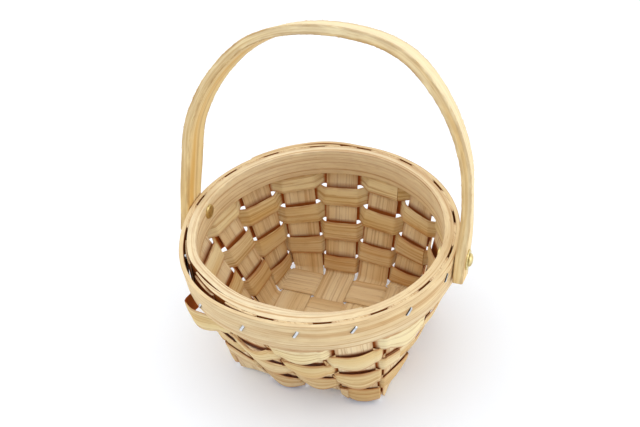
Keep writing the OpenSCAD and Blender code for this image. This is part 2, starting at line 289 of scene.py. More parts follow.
chipGrain = dict(
    drift=(9, 70),  # waves per metre along and across the grain
    line=(14, 900),
    pore=(160, 2600),
    streak=(7, 120),
    fray=(90, 400),
    driftFrom=(0.3, 0.7),  # the noise of a layer at which it starts to show, and shows in full
    lineFrom=(0.44, 0.72),
    streakFrom=(0.54, 0.76),
    poreFrom=(0.64, 0.74),
    frayFrom=(0.3, 0.6),
    lineDepth=0.6,
    streakDepth=0.45,
    poreDepth=0.4,
    edgeDepth=0.45,
    # shadeDepth: share of the brown where the painted shade is full
    shadeDepth=0.96,
    relief=(0.6, 0.5, 0.5),  # height of grain lines and fine lines, and depth of pores
    rough=0.56,
    roughFine=0.2,  # added on the fine lines
    specular=0.15,
    bump=0.35,
    bumpDepth=0.0004,
)


def makeWood(name, w):
    # slow colour drift, long grain lines, warm streaks, short dark pores, cut edges mixed towards
    # brown, and painted shade in crevices, slots, hidden faces and lower rows mixed towards the same
    # brown
    f = Finish(name)
    uv = f.node("ShaderNodeUVMap", dict(uv_map="grain"), {})[0]
    along, across, _ = f.split(uv)
    edge = f.node("ShaderNodeAttribute", dict(attribute_name="edge"), {})[2]
    shade = f.node("ShaderNodeAttribute", dict(attribute_name="shade"), {})[2]

    def layer(size, level, detail, rough=0.55):
        # noise stretched along the grain; each layer is cut from its own level
        return f.noise(along * size[0], across * size[1], level, detail, rough)

    drift = layer(w["drift"], 3.1, 2.0)
    line = layer(w["line"], 7.7, 4.0, 0.62)
    fine = layer((w["line"][0] * 3, w["line"][1] * 3), 1.3, 2.0)
    pore = layer(w["pore"], 5.9, 1.0)
    streak = layer(w["streak"], 11.4, 3.0)
    fray = layer(w["fray"], 2.2, 2.0)
    colour = f.mix(drift.step(*w["driftFrom"]), w["pale"], w["mid"])
    colour = f.mix(line.step(*w["lineFrom"]) * w["lineDepth"], colour, w["dark"])
    colour = f.mix(streak.step(*w["streakFrom"]) * w["streakDepth"], colour, w["warm"])
    colour = f.mix(pore.step(*w["poreFrom"]) * w["poreDepth"], colour, w["dark"])
    colour = f.mix(edge * fray.step(*w["frayFrom"]) * w["edgeDepth"], colour, w["edgeAndShadeBrown"])
    # painted shade: where the shade mark is set, the colour goes towards brown
    colour = f.mix(shade * w["shadeDepth"], colour, w["edgeAndShadeBrown"])
    lineHeight, fineHeight, poreDrop = w["relief"]
    height = line * lineHeight + fine * fineHeight - pore.step(*w["poreFrom"]) * poreDrop
    f.set({
        "Base Color": colour,
        "Roughness": w["rough"] + w["roughFine"] * fine,
        "Normal": f.bump(height, w["bump"], w["bumpDepth"]),
        "Specular IOR Level": w["specular"],
    })
    return f.material


splintWood = makeWood("splintChip", dict(
    chipGrain,
    pale=screen(243, 222, 182), mid=screen(229, 199, 150), dark=screen(174, 128, 82),
    warm=screen(210, 160, 98), edgeAndShadeBrown=screen(158, 78, 6),
))
weaverWood = makeWood("weaverChip", dict(
    chipGrain, line=(14, 1000), lineDepth=0.75, edgeDepth=0.6,
    pale=screen(246, 230, 186), mid=screen(232, 206, 148), dark=screen(186, 138, 74),
    warm=screen(218, 166, 82), edgeAndShadeBrown=screen(168, 80, 4),
))
hoopWood = makeWood("hoopStrip", dict(
    chipGrain, drift=(5, 30), line=(7, 1050), lineFrom=(0.48, 0.68), lineDepth=0.7,
    edgeDepth=0.4, streakDepth=0.25,
    pale=screen(246, 230, 194), mid=screen(236, 211, 164), dark=screen(190, 140, 86),
    warm=screen(222, 174, 106), edgeAndShadeBrown=screen(148, 80, 12),
))
handleWood = makeWood("handleStrip", dict(
    chipGrain, drift=(6, 60), line=(10, 800), streakFrom=(0.48, 0.68), streakDepth=0.7, bump=0.5,
    pale=screen(247, 231, 190), mid=screen(240, 214, 156), dark=screen(188, 140, 72),
    warm=screen(226, 174, 76), edgeAndShadeBrown=screen(156, 102, 44),
))

# metal

metalGrain = dict(
    dull=420, scratch=(2600, 380),  # waves per metre, for scratches across and up
    dullFrom=(0.35, 0.7), dullDepth=0.5, roughDull=0.22, bump=0.12, bumpDepth=0.0002,
)


def makeMetal(name, colour, worn, dark, rough):
    # drawn metal with faint scratches, dull patches, and flanks darkened by a painted dark reflection
    m = metalGrain
    f = Finish(name)
    x, y, z = f.split(f.node("ShaderNodeTexCoord", {}, {})[3])
    dull = f.noise(x * m["dull"], y * m["dull"], z * m["dull"])
    across, up = m["scratch"]
    scratch = f.noise(x * across, y * across, z * up, 2.0)
    # the edge mark carries the painted dark reflection on the flanks
    edge = f.node("ShaderNodeAttribute", dict(attribute_name="edge"), {})[2]
    face = f.mix(dull.step(*m["dullFrom"]) * m["dullDepth"], colour, worn)
    f.set({
        "Base Color": f.mix(edge, face, dark),
        "Roughness": rough + m["roughDull"] * dull,
        "Normal": f.bump(scratch, m["bump"], m["bumpDepth"]),
        "Metallic": 1.0,
    })
    return f.material


steel = screen(220, 223, 226), screen(158, 160, 164), screen(70, 66, 60)  # bright, worn, and the dark of the painted reflection on the flanks
brass = screen(226, 208, 150), screen(166, 142, 84), screen(96, 76, 40)
stapleMetal = makeMetal("stapleWire", *steel, 0.24)
rivetMetal = makeMetal("rivetBrass", *brass, 0.28)
print("finishes made")

# wall: sizes shared by splints, weavers and hoops

wall = dict(
    rimRadius=65.0, outerHoop=2.0, innerHoop=4.3, hoopHeight=14.6, height=71.4, fit=0.2,
    splintWidth=16.6, splintThick=0.6, splintGap=1.6, fold=2.2, neck=1.6, baseRoom=0.1,
    crossingRoom=0.15, edgeRoom=0.3, stakes=16, rows=6, firstRow=2.6, rowGap=0.1, hoopRoom=0.2,
    twist=-1.8,  # turn of all the stakes at the rim
    early=0.5,  # below 1, the stakes turn towards their place at the rim soon above the fold
    shift=(2.2, 1.5, 0.0),  # the base from the middle of the rim
)
outerInside = wall["rimRadius"] - wall["outerHoop"]
innerOutside = outerInside - wall["splintThick"] - 2 * wall["fit"]
innerInside = innerOutside - wall["innerHoop"]
stakeRadius = (outerInside + innerOutside) / 2
hoopBottom = wall["height"] - wall["hoopHeight"]
neckLevel = hoopBottom - wall["neck"]
pitch = wall["splintWidth"] + wall["splintGap"]
halfSplint = wall["splintWidth"] / 2
baseOffset = (wall["splintThick"] + wall["baseRoom"]) / 2
baseLevel = wall["splintThick"] / 2 + baseOffset
foot = 1.5 * pitch + halfSplint + 2 * wall["crossingRoom"] + wall["fold"]
stakeSag = stakeRadius - math.sqrt(stakeRadius**2 - halfSplint**2)
rowPitch = (hoopBottom - wall["hoopRoom"] - wall["firstRow"]) / wall["rows"]
clearReach = halfSplint + wall["edgeRoom"]


def stakeFrame(k, z):
    # a stake leaves the base through a round fold, climbs straight and turns upright at the neck;
    # gives its middle, the way across, the way out, the set-back of its edges and its tilt
    k, z = np.broadcast_arrays(np.asarray(k, float), np.asarray(z, float))
    turnK = np.radians(360 / wall["stakes"] * k + wall["twist"])
    start = np.stack([pitch * k, np.full_like(k, foot)], -1)
    stop = stakeRadius * np.stack([np.sin(turnK), np.cos(turnK)], -1)
    run = np.linalg.norm(stop - start, axis=-1)
    way = (stop - start) / run[..., None]
    slope = np.arctan(run / (neckLevel - baseLevel))
    foldRadius = wall["fold"] / np.tan((np.pi / 2 - slope) / 2)
    neckRadius = wall["neck"] / np.tan(slope / 2)
    foldAngle = np.arccos(np.clip(1 - (z - baseLevel) / foldRadius, -1, 1))
    neckAngle = np.arcsin(np.clip((hoopBottom - z) / neckRadius, 0, 1))
    zones = [
        z < baseLevel + wall["fold"] * np.cos(slope),
        z < neckLevel - wall["neck"] * np.cos(slope),
    ]
    out = np.select(
        zones,
        [foldRadius * np.sin(foldAngle) - wall["fold"], (z - baseLevel) * np.tan(slope)],
        run - neckRadius * (1 - np.cos(neckAngle)),
    )
    tilt = np.select(zones, [np.pi / 2 - foldAngle, slope], neckAngle)
    share = np.clip(out / run, 0, None)
    turn = turnK * share ** wall["early"]
    flat = start + out[..., None] * way
    lead = np.sin(turn) * way[..., 0] + np.cos(turn) * way[..., 1]
    outTilt = np.arctan2(np.sin(tilt) * lead, np.cos(tilt))
    middle = np.stack([flat[..., 0], flat[..., 1], z], -1)
    across = np.stack([np.cos(turn), -np.sin(turn), np.zeros_like(turn)], -1)
    level = np.cos(outTilt)
    outward = np.stack([np.sin(turn) * level, np.cos(turn) * level, -np.sin(outTilt)], -1)
    return middle, across, outward, stakeSag * share**2, tilt


def rowLevel(r):
    # height of the middle of a row
    return wall["firstRow"] + rowPitch * (r + 0.5)


def isOutside(j, r):
    # plain weave: each row passes outside every second stake
    return (j + r) % 2 == 1


def toPart(p, face):
    # face coordinates (along, out, up) to the part's, faces counted anticlockwise from the front
    a = np.pi / 2 * face
    c, s = math.cos(a), math.sin(a)
    x, y = p[..., 0], -p[..., 1]
    return np.stack([x * c - y * s, x * s + y * c, p[..., 2]], -1)


def flatStrip(line, outward, skin, edge):
    # sections of a flat strip: its outer side, then its inner side back again; the base stands off
    # from the middle of the rim, so the wall leans over by less and less up to the hoops
    outer = line + outward * skin[..., None]
    inner = line - outward * skin[..., None]
    sections = np.concatenate([outer, inner[:, ::-1]], 1)
    lean = np.clip(1 - sections[..., 2:] / hoopBottom, 0, None) * wall["shift"]
    return sections + lean, np.concatenate([edge, edge[::-1]])


# splints

splintSettings = dict(
    wallSteps=44, foldSteps=8, baseSteps=97, across=9, seed=41,
    rimSkin=0.49, rimRun=3.0,  # half thickness between the hoops, where the ends are squeezed full
    # crevice: the height over which the painted shade on a stake fades
    topGap=0.04, tornDepth=0.35, crevice=0.7,
    unshadedTop=0.5,  # this much of a stake's end gets no painted shade
    lowTops={15: 3.0, 0: 2.2},  # stakes whose ends are torn off low
    lowShare=(0.4, 1.0),  # and by which shares of that
    thinEdge=0.6,  # share of the thickness left at the edges
    edgeFall=10,  # how soon the browning of an edge fades
    edgeLow=0.35, edgeRise=8.0,  # its share at the base, and the height from which it is whole
    innerGrain=2.2,  # the grain of the inner side starts this much further, in half widths
)


def stakeHalf(k, side):
    # stations from the fold at the base up to the rim
    s = splintSettings
    slope = float(stakeFrame(k, baseLevel + wall["height"] / 2)[4])
    foldTurn = math.pi / 2 - slope
    foldRadius = wall["fold"] / math.tan(foldTurn / 2)
    t = np.linspace(0, 1, s["foldSteps"] + 1)
    fold = baseLevel + foldRadius * (1 - np.cos(foldTurn * t))
    climb = np.linspace(fold[-1], wall["height"] - s["topGap"], s["wallSteps"] + 1)[1:]
    z = np.concatenate([fold, climb])
    shift = np.zeros_like(z)
    shift[: len(t)] = side * baseOffset * (1 - t)
    middle, across, outward, sag, _ = stakeFrame(k, z)
    return middle - outward * shift[:, None], across, outward, sag


def covered(z, j, outside):
    # how far heights z of stake j lie behind rows on one side, in the crevice just above them, or
    # outside under the outer hoop; this sets the painted shade
    s = splintSettings
    deep = np.zeros_like(z)
    for r in range(wall["rows"]):
        if isOutside(j, r) == outside:
            away = np.abs(z - rowLevel(r) - s["crevice"] / 2) - (rowPitch + s["crevice"]) / 2
            deep = np.maximum(deep, smooth(-away / s["crevice"]))
    if outside:
        inHoop = smooth((z - hoopBottom) / s["crevice"])
        deep = np.maximum(deep, inHoop * smooth((wall["height"] - z - s["unshadedTop"]) / s["crevice"]))
    return deep


def makeSplint(i, face, name):
    # a stake, the woven run through the base, and the stake on the other side, as one strip
    s = splintSettings
    rng = np.random.default_rng(s["seed"] + 10 * face + i)
    sides = [1 if (i + m) % 2 == 0 else -1 for m in range(4)]
    a, b = stakeHalf(i - 1.5, sides[0]), stakeHalf(1.5 - i, sides[3])
    reach = halfSplint + wall["crossingRoom"]
    out = np.array([-(m - 1.5) * pitch + end * reach for m in range(4) for end in (1, -1)])
    fine = np.sort(np.concatenate([np.linspace(out[0], out[-1], s["baseSteps"]), out[1:-1]]))[::-1]
    level = np.interp(-fine, -out, np.repeat(sides, 2) * baseOffset + baseLevel)
    flat = [
        np.stack([np.full_like(fine, pitch * (i - 1.5)), fine, level], -1),
        np.tile([1.0, 0, 0], (len(fine), 1)),
        np.tile([0, 0, -1.0], (len(fine), 1)),
    ]
    first = [toPart(q[::-1], face) for q in a[:3]]
    woven = [toPart(q, face) for q in flat]
    second = [toPart(q, face + 2) for q in b[:3]]
    second[1] = -second[1]
    middle, across, outward = [np.concatenate(q) for q in zip(first, woven, second)]
    sag = np.concatenate([a[3][::-1], np.zeros(len(fine)), b[3]])
    v = np.linspace(-1, 1, s["across"])
    line = middle[:, None] + across[:, None] * (v * halfSplint)[None, :, None]
    line = line - outward[:, None] * (sag[:, None] * v**2)[..., None]
    stakes = face % 4 * 4 + i, (face + 2) % 4 * 4 + 3 - i
    for end, j in zip((0, -1), stakes):
        torn = s["tornDepth"] * rng.uniform(0, 1, len(v)) ** 2
        line[end, :, 2] -= torn + s["lowTops"].get(j, 0) * rng.uniform(*s["lowShare"], len(v))
    rim = smooth((middle[:, 2] - hoopBottom) / s["rimRun"])[:, None]
    thin = wall["splintThick"] / 2
    skin = (thin + (s["rimSkin"] - thin) * rim) * np.where(np.abs(v) == 1, s["thinEdge"], 1.0)
    sections, edge = flatStrip(line, outward[:, None], skin, np.abs(v) ** s["edgeFall"])
    along = lengths(middle) * mm + rng.uniform(0, 5)
    around = np.concatenate([v, s["innerGrain"] + v]) * halfSplint * mm + rng.uniform(1, 9)
    grow = s["edgeLow"] + (1 - s["edgeLow"]) * smooth(middle[:, 2] / s["edgeRise"])[:, None]
    ends = [(a[0][::-1, 2], stakes[0]), (b[0][:, 2], stakes[1])]
    # painted shade on the stakes where rows cover them, in the crevices above the rows and under the
    # outer hoop
    deep = []
    for outside in (True, False):
        one, two = [covered(z, j, outside) for z, j in ends]
        deep.append(np.concatenate([one, np.zeros(len(fine)), two]))
    shade = np.repeat(np.stack(deep, 1), len(v), 1)
    skin = tube(sections[:, ::-1], along, around, (edge[None] * grow)[:, ::-1], shade[:, ::-1])
    addPiece(name, skin, splintWood, "basket", [name])


for i in range(4):
    makeSplint(i, 1, f"splint_x{i + 1}")
    makeSplint(i, 0, f"splint_y{i + 1}")
print("splints made")

# weavers

weaverSettings = dict(
    thick=0.5, room=0.1, lapRoom=0.15, outLow=3.2, outHigh=0.6, inLow=0.4, inHigh=2.0, drop=2.0,
    loopStake=0, loopSlack=5.5, perStake=17, perGap=9, across=7, bow=0.22, fray=0.22, seed=7,
    swell=(0.86, 1.12),  # uneven bulges, as shares
    firstStart=2, nextStart=11,  # stake where the bottom row starts, and the step to the next row's
    frayWaves=(6, 60), thinEdge=0.5, edgeFall=8, innerGrain=1.1,
    gapOut=0.13,  # outward push of a row midway between stakes, as a share of the gap
    diveFrom=(0.3, 0.8),  # how far into a gap a row takes painted shade on the face that turns behind a stake, from and to
    tuck=1.5,  # behind a stake a row reaches this much further down
    lift=1.3,  # outside a stake the upper edge rises this much towards both ends
    lowRowShade=0.28,  # painted shade: the lowest row is this much darker, towards brown, than the top one
    tight={0: 0.2, 4: 0.25, 5: 0.3, 14: 0.7, 15: 0.3},  # stakes that the lower rows hug
    gape={(1, 4): (1.3, 2.2), (3, 4): (0.4, 0.0)},  # stake, row: the upper edge stands out, hangs
    shortLap={0: 4},  # the bottom row ends early, as a tab beside a stake
)
weaverOffset = (wall["splintThick"] + weaverSettings["thick"]) / 2 + weaverSettings["room"]
lapGrowth = weaverSettings["thick"] + weaverSettings["lapRoom"]


def weaverEdge(j, r, s, up, growth, swellScale):
    # an edge of row r at stake j, at shares s of its width: the clearance of the stake plus a bulge;
    # outside a stake the lower edge hangs at the middle and the upper one rises at both ends or
    # stands open, and behind a stake the lower edge is tucked down
    w = weaverSettings
    k = j % 4 - 1.5
    half = (rowPitch - wall["rowGap"]) / 2
    z = rowLevel(r) + up * half * math.cos(float(stakeFrame(k, rowLevel(r))[4])) + 0 * s
    standsOut, hangs = w["gape"].get((j, r), (0.0, 0.0)) if up > 0 else (0.0, 0.0)
    hangs = hangs * np.cos(np.pi / 2 * s)
    if up < 0 and r > 0:
        hangs = w["drop"] * swellScale * np.cos(np.pi / 2 * s) if isOutside(j, r) else w["tuck"]
    if up > 0 and isOutside(j, r) and r < wall["rows"] - 1:
        hangs = hangs - w["lift"] * min(1.0, swellScale) * s**2
    z = z - hangs
    middle, across, outward, sag, _ = stakeFrame(k, z)
    spacing = (stakeFrame(0.5, z)[0] - stakeFrame(-0.5, z)[0])[:, 0] / 2
    swell = np.cos(np.pi / 2 * s * np.minimum(1.0, clearReach / spacing)) * swellScale
    if isOutside(j, r):
        offset = weaverOffset + swell * w["outHigh" if up > 0 else "outLow"] + lapGrowth * growth
    else:
        offset = -weaverOffset - swell * w["inHigh" if up > 0 else "inLow"] + lapGrowth * (growth - 1)
    if j == w["loopStake"] and r == wall["rows"] - 1:
        offset = offset + w["loopSlack"] * (1 + np.cos(np.pi / 2 * (s + 1))) / 2
    offset = offset + standsOut * np.cos(np.pi / 2 * s) - sag * s**2
    p = middle + across * (clearReach * s)[:, None] + outward * offset[:, None]
    return toPart(p, j // 4), toPart(outward, j // 4)


def weaverLine(r, up, start, swellScale):
    # one edge of a row, once round the stakes and over its own start; a cubic crosses each gap,
    # pushed a little outwards
    w = weaverSettings
    s = np.linspace(-1, 1, w["perStake"])
    t = np.linspace(0, 1, w["perGap"] + 2)[1:-1][:, None]
    h00, h01 = 2 * t**3 - 3 * t**2 + 1, 3 * t**2 - 2 * t**3
    h10, h11 = t**3 - 2 * t**2 + t, t**3 - t**2
    points, ways, sides = [], [], []
    for n in range(wall["stakes"] + 2):
        j = (start + n) % wall["stakes"]
        shares = s if n <= wall["stakes"] else s[: w["shortLap"].get(r, len(s) // 2)]
        p, o = weaverEdge(j, r, shares, up, min(1.0, n / wall["stakes"]), swellScale[j])
        side = 1.0 if isOutside(j, r) else -1.0
        if points:
            a = points[-1]
            gap = np.linalg.norm(p[0] - a[-1])
            leave = (a[-1] - a[-2]) / np.linalg.norm(a[-1] - a[-2]) * gap
            arrive = (p[1] - p[0]) / np.linalg.norm(p[1] - p[0]) * gap
            between = (1 - t) * ways[-1][-1] + t * o[0]
            between = between / np.linalg.norm(between, axis=1)[:, None]
            push = between * (w["gapOut"] * gap * 4 * t * (1 - t))
            points.append(h00 * a[-1] + h10 * leave + h01 * p[0] + h11 * arrive + push)
            ways.append(between)
            sides.append(side * (2 * t[:, 0] - 1))
        points.append(p)
        ways.append(o)
        sides.append(np.full(len(p), side))
    return np.concatenate(points), np.concatenate(ways), np.concatenate(sides)


def makeWeaver(r):
    # the strip between a row's lower and upper edge, slightly cupped and frayed
    w = weaverSettings
    rng = np.random.default_rng(w["seed"] + r)
    start = (w["firstStart"] + w["nextStart"] * r) % wall["stakes"]
    swellScale = rng.uniform(*w["swell"], wall["stakes"])
    if r < wall["rows"] - 1:
        for j, share in w["tight"].items():
            swellScale[j] *= share
    low, lowWay, side = weaverLine(r, -1, start, swellScale)
    high, highWay, _ = weaverLine(r, 1, start, swellScale)
    along = lengths((low + high) / 2)
    rise = (high - low) / np.linalg.norm(high - low, axis=1)[:, None]
    low = low + rise * (w["fray"] * np.abs(waves(along, rng, *w["frayWaves"])))[:, None]
    high = high - rise * (w["fray"] * np.abs(waves(along, rng, *w["frayWaves"])))[:, None]
    v = np.linspace(0, 1, w["across"])
    fromMiddle = np.abs(2 * v - 1)
    line = low[:, None] * (1 - v)[None, :, None] + high[:, None] * v[None, :, None]
    way = lowWay[:, None] * (1 - v)[None, :, None] + highWay[:, None] * v[None, :, None]
    cup = w["bow"] * side[:, None] * (1 - fromMiddle**2)
    line = line + way * cup[..., None]
    skin = w["thick"] / 2 * np.where(fromMiddle == 1, w["thinEdge"], 1.0)
    skin = np.broadcast_to(skin, cup.shape)
    sections, edge = flatStrip(line, way, skin, fromMiddle ** w["edgeFall"])
    around = np.concatenate([v, w["innerGrain"] + v]) * rowPitch * mm + rng.uniform(1, 9)
    # painted shade on the outer face where the row passes behind a stake, and on the inner face where
    # it passes in front
    first, last = w["diveFrom"]
    behind = smooth((-side - first) / (last - first))
    before = smooth((side - first) / (last - first))
    if r == wall["rows"] - 1:
        loop = (w["loopStake"] - start) % wall["stakes"] * (w["perStake"] + w["perGap"])
        before[loop - w["perGap"] : loop] = 1  # painted shade on the inside of the loose loop
    shade = np.repeat(np.stack([behind, before], 1), len(v), 1)
    # painted shade, darker towards the lowest row
    shade = np.maximum(shade, w["lowRowShade"] * (1 - r / (wall["rows"] - 1)))
    along = along * mm + rng.uniform(0, 5)
    skin = tube(sections[:, ::-1], along, around, edge[None, ::-1], shade[:, ::-1])
    name = f"weaver_{r + 1}"
    addPiece(name, skin, weaverWood, "basket", [name])


for r in range(wall["rows"]):
    makeWeaver(r)
print("weavers made")

# hoops

hoopSettings = dict(
    tip=0.7, seam=0.03, runIn=12.0, slack=2.2, slackMiddle=232.0, slackReach=38.0,
    slackLow=0.3,  # share of the slack left at the lower edge
    steps=480, uneven=0.07, unevenWaves=(8, 90), seed=23,
    gape=0.8, gapePlace=0.6, gapeWidth=10.0,  # the lap springs open a little at its tip
    gapeShade=0.3,  # and takes painted shade where it is open, in full from this much
    scarfStart=2.0, scarfEnd=1.33,  # how fast the ends reach the full thickness
    gapEdge=0.15, lapEdge=0.08,  # rounding of the edges next to the stakes and inside the lap
    mostEdge=0.4,  # no rounding takes more than this share of the thickness
    inner=dict(start=-133.0, lap=81.0, full=wall["innerHoop"], edge=0.5, grain=5.0),
    outer=dict(start=100.0, lap=42.0, full=wall["outerHoop"], edge=0.35, grain=3.0),
)


def startThick(a, h):
    # thickness of the scarfed start at angle a from its tip
    s = hoopSettings
    return s["tip"] + (h["full"] - s["tip"]) * np.clip(s["scarfStart"] * a / h["lap"], 0, 1)


def endThick(a, h):
    # thickness of the scarfed end at angle a past the start
    s = hoopSettings
    return s["tip"] + (h["full"] - s["tip"]) * np.clip(s["scarfEnd"] * (1 - a / h["lap"]), 0, 1)


def gapeAt(a):
    # how far the lap stands open at angle a along the strip
    s = hoopSettings
    return s["gape"] * np.exp(-(((a - 360) / s["gapeWidth"] - s["gapePlace"]) ** 2))


def hoopLine(a, h):
    # how far the strip has stepped over its own start, and its thickness, at angle a along it
    s = hoopSettings
    seam = s["seam"] + gapeAt(a)
    lead = (s["tip"] + seam) * smooth((a - 360 + s["runIn"]) / s["runIn"])
    shift = np.where(a < 360, lead, startThick(a - 360, h) + seam)
    last = np.where(a <= 360, h["full"], endThick(a - 360, h))
    return shift, np.where(a < h["lap"], startThick(a, h), last)


def slackAt(angle, z):
    # how far the outer hoop stands off at its slack side, most at the top
    s = hoopSettings
    away = np.abs((angle + 720) % 360 - s["slackMiddle"]) / s["slackReach"]
    slack = s["slack"] * (1 + np.cos(np.pi * np.minimum(away, 1))) / 2
    return slack * (s["slackLow"] + (1 - s["slackLow"]) * (z - hoopBottom) / wall["hoopHeight"])


def makeHoop(name, h, outer):
    # a rectangle with rounded edges carried round the rim, thin at both ends where they lap
    s = hoopSettings
    rng = np.random.default_rng(s["seed"] + outer)
    a = np.linspace(0, 360 + h["lap"], s["steps"])
    shift, thick = hoopLine(a, h)
    uneven = s["uneven"] * (waves(a, rng, *s["unevenWaves"]) - 1) / 2
    if outer:
        near = outerInside + shift
        far = near + thick + uneven
    else:
        far = innerOutside - shift
        near = far - thick - uneven
    low = hoopBottom + s["uneven"] * (1 + waves(a, rng, *s["unevenWaves"]))
    high = wall["height"] - s["uneven"] * (1 + waves(a, rng, *s["unevenWaves"]))
    e = np.where(a < h["lap"], s["lapEdge"], np.minimum(h["edge"], thick * s["mostEdge"]))
    nearEdge, farEdge = (s["gapEdge"], e) if outer else (e, s["gapEdge"])
    t = np.linspace(0, np.pi / 2, 4)[:, None]
    radius, height = [], []
    for q, (side, level) in enumerate(((far, high), (near, high), (near, low), (far, low))):
        e = farEdge if q in (0, 3) else nearEdge
        inward, downward = (-e if q in (0, 3) else e), (-e if q < 2 else e)
        radius.append(side + inward + e * np.cos(t + q * np.pi / 2))
        height.append(level + downward + e * np.sin(t + q * np.pi / 2))
    radius, height = np.concatenate(radius), np.concatenate(height)
    if outer:
        radius = radius + slackAt(a + h["start"], height)
    angle = np.radians(a + h["start"])
    sections = np.stack([radius * np.cos(angle), radius * np.sin(angle), height], -1).swapaxes(0, 1)
    sections = sections[:, ::-1]
    along = np.radians(a) * wall["rimRadius"] * mm
    around = lengths(sections[len(a) // 2]) * mm + h["grain"]
    edge = np.tile([0.3, 1, 1, 0.3], 4)[None]  # four points on each rounded corner
    shade = np.zeros((len(a), edge.shape[1]))
    deep = np.where(a > 360, smooth(gapeAt(a) / s["gapeShade"]), 1.0)[:, None]
    shade[:, [8, 7] if outer else [0, 15]] = deep  # painted shade on the side that faces the stakes, and on the lapped end only where it stands open
    skin = tube(sections, along, around, edge, shade)
    addPiece(name, skin, hoopWood, "basket", [name])


makeHoop("inner_hoop", hoopSettings["inner"], False)
makeHoop("outer_hoop", hoopSettings["outer"], True)
print("hoops made")

# handle

handleSettings = dict(
    width=13.2, thick=4.6, lean=19.7, legSlope=4.2, legLength=19.5, shoulderRadius=62.0,
    shoulderAngle=30.0, footDrop=9.6, footRise=8.0, ankleRadius=120.0, gap=0.3, pivotDepth=4.6,
    edge=0.45, uneven=0.22, unevenWaves=(4, 70), narrowDent=0.6, seed=5,
    keepClear=16.0, clearRun=20.0,  # the feet stay plain up to here, and the dents grow over this run
    steps=dict(foot=12, ankle=8, leg=12, shoulder=30, crown=70),
    stray={  # length along the strip: how far it stands out of the plain arch, and its twist in degrees
        0: (0.0, 0), 10: (0.0, 0), 20: (0.2, 1.5), 33: (0.5, 6), 47: (0.1, 6), 62: (-0.6, 4.5),
        78: (-0.5, 4), 92: (0.3, 1), 106: (1.3, 0), 118: (0.9, 0), 130: (-0.2, 0), 144: (-0.8, 0),
        158: (-0.5, 1), 170: (0.3, 3), 183: (0.8, 5), 200: (0.2, 5), 222: (0.1, 4), 238: (0.6, 5),
        250: (0.3, 5), 260: (0.0, 4), 269: (0.0, 1.5), 277: (0.0, 0), 287: (0.0, 0),
    },
    fibres=420, fibreLength=(0.7, 2.4), fibreThick=0.09, fibreBend=0.25, fibreTaper=0.85,
    fibreFrom=40.0, fibreInset=0.25, fibreSpread=(0.05, 0.4), fibreGrain=0.0004,
    endFibres=40, endLength=0.4, endReach=0.4, endSpread=0.25,
)
pivotLevel = wall["height"] - handleSettings["pivotDepth"]
handleOffset = wall["rimRadius"] + handleSettings["gap"] + handleSettings["thick"] / 2


def leanBack(p):
    # (across, up, width) in the plane of the handle to the part's coordinates
    a = math.radians(90 - handleSettings["lean"])
    c, s = math.cos(a), math.sin(a)
    y, z = p[..., 1] * c - p[..., 2] * s, p[..., 1] * s + p[..., 2] * c
    return np.stack([p[..., 0], y, z + pivotLevel], -1)


def arc(centre, radius, first, last, count):
    # points on a circle and the ways out from its centre
    t = np.linspace(first, last, count)
    way = np.stack([np.cos(t), np.sin(t)], -1)
    return centre + radius * way, way


def handlePath():
    # straight foot, slight ankle, leg, shoulder and crown, then the same mirrored; the stray values
    # move the line and give its twist
    h = handleSettings
    slope = math.radians(h["legSlope"])
    crown = slope + math.radians(h["shoulderAngle"])
    legOut = np.array([math.cos(slope), math.sin(slope)])
    crownOut = np.array([math.cos(crown), math.sin(crown)])
    ankleCentre = np.array([handleOffset - h["ankleRadius"], h["footRise"]])
    ankleEnd = ankleCentre + h["ankleRadius"] * legOut
    legEnd = ankleEnd + h["legLength"] * np.array([-legOut[1], legOut[0]])
    shoulderCentre = legEnd - h["shoulderRadius"] * legOut
    shoulderEnd = shoulderCentre + h["shoulderRadius"] * crownOut
    crownRadius = shoulderEnd[0] / crownOut[0]
    crownCentre = np.array([0, shoulderEnd[1] - crownRadius * crownOut[1]])
    n = h["steps"]
    y = np.linspace(-h["footDrop"], h["footRise"], n["foot"] + 1)[:-1]
    t = np.linspace(0, 1, n["leg"] + 2)[1:-1, None]
    top = arc(crownCentre, crownRadius, crown, math.pi / 2, n["crown"])
    pieces = [
        (np.stack([np.full_like(y, handleOffset), y], -1), np.tile([1.0, 0], (len(y), 1))),
        arc(ankleCentre, h["ankleRadius"], 0, slope, n["ankle"]),
        (ankleEnd + (legEnd - ankleEnd) * t, np.tile(legOut, (len(t), 1))),
        arc(shoulderCentre, h["shoulderRadius"], slope, crown, n["shoulder"]),
        (top[0][1:], top[1][1:]),
    ]
    mirror = np.array([-1, 1])
    both = []
    for half in (np.concatenate([p for p, _ in pieces]), np.concatenate([o for _, o in pieces])):
        both.append(np.concatenate([half, (half * mirror)[-2::-1]]))
    line, way = both
    along = lengths(line)
    out, twist = through(along, list(h["stray"]), np.array(list(h["stray"].values()))).T
    return line + way * out[:, None], way, along, np.radians(twist)


def onHandle(line, way, twist, out, front):
    # the point that lies so far out and to the front in the twisted section of the handle
    c, s = np.cos(twist), np.sin(twist)
    flat = line + way * (out * c + front * s)[..., None]
    return np.concatenate([flat, (front * c - out * s)[..., None]], -1)


